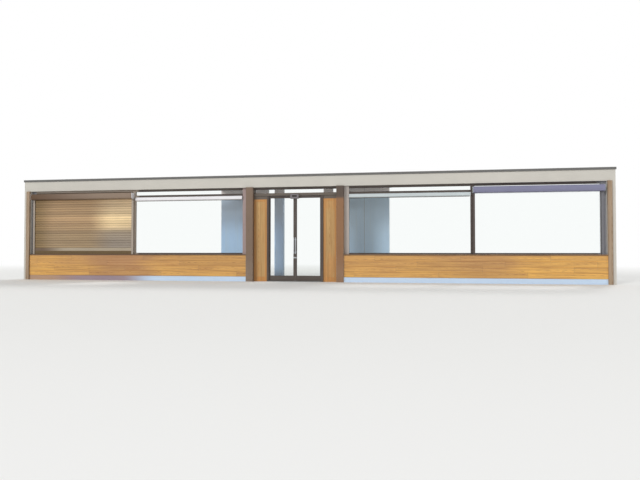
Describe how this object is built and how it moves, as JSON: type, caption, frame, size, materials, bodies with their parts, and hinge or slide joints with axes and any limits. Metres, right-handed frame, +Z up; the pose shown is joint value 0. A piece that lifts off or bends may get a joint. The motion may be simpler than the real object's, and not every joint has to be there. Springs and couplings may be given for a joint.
{
  "type": "glazed shopfront wall with double entrance doors and porch",
  "caption": "Long glazed shopfront wall of a sales hall: low panelled wall, window frames, one lowered slatted shutter, swing double doors between posts, and a porch.",
  "frame": {"origin": "underside of the threshold at the middle of the entrance, in the plane of the masonry's room face, at floor level", "axes": "+X along the wall to the right as seen from the room, +Y out to the street, +Z up"},
  "size_m": [18.04, 2.01, 3.235],
  "materials": {
    "render": "matte",
    "roof_metal": "satin",
    "panel_wood": "satin",
    "skirting_metal": "satin",
    "board_wood": "satin",
    "sill_stone": "matte",
    "post_wood": "satin",
    "post_steel": "satin",
    "frame_metal": "satin",
    "jamb_metal": "satin",
    "glass": "polished",
    "blank_panel": "matte",
    "box_metal": "satin",
    "slat_metal": "satin",
    "end_bar_metal": "satin",
    "foot_rubber": "matte",
    "cassette_metal": "satin",
    "side_wood": "satin",
    "head_metal": "satin",
    "threshold_metal": "satin",
    "sensor_plastic": "matte",
    "hinge_steel": "satin",
    "handle_steel": "satin",
    "porch_render": "matte",
    "canopy_render": "matte"
  },
  "bodies": {
    "root": {"sill_walls": "render", "end_piers": "render", "lintel": "render", "wall_cap": "roof_metal", "panelling": "panel_wood", "skirtings": "skirting_metal", "window_boards": "board_wood", "outer_sills": "sill_stone", "corner_posts": "post_wood", "entrance_post_left": "post_steel", "entrance_post_right": "post_steel", "mullions": "frame_metal", "window_jambs": "jamb_metal", "sill_rails": "frame_metal", "transom_rails": "frame_metal", "head_rails": "frame_metal", "window_glass_left": "glass", "window_glass_right": "glass", "upper_glass": "glass", "upper_panel_left": "blank_panel", "shutter_boxes": "box_metal", "shutter_guides": "frame_metal", "shutter_curtain": "slat_metal", "shutter_end_bar": "end_bar_metal", "shutter_foot": "foot_rubber", "blind_cassettes": "cassette_metal", "side_panels": "side_wood", "side_panel_heads": "head_metal", "door_jambs": "frame_metal", "entrance_transom": "head_metal", "threshold": "threshold_metal", "door_sensor": "sensor_plastic", "jamb_hinges": "hinge_steel", "porch_walls": "porch_render", "porch_columns": "porch_render", "porch_canopy": "canopy_render", "canopy_edge": "roof_metal"},
    "left_leaf": {"door_frame_left": "frame_metal", "door_glass_left": "glass", "door_handles_left": "handle_steel", "door_hinges_left": "hinge_steel"},
    "right_leaf": {"door_frame_right": "frame_metal", "door_glass_right": "glass", "door_handles_right": "handle_steel", "door_hinges_right": "hinge_steel"}
  },
  "joints": [
    {"name": "left_door", "type": "hinge", "parent": "root", "child": "left_leaf", "pos_m": [-0.817, 0.17, 1.3], "axis": [0, 0, 1], "range_deg": [0, 90]},
    {"name": "right_door", "type": "hinge", "parent": "root", "child": "right_leaf", "pos_m": [0.817, 0.17, 1.3], "axis": [0, 0, -1], "range_deg": [0, 90]}
  ]
}
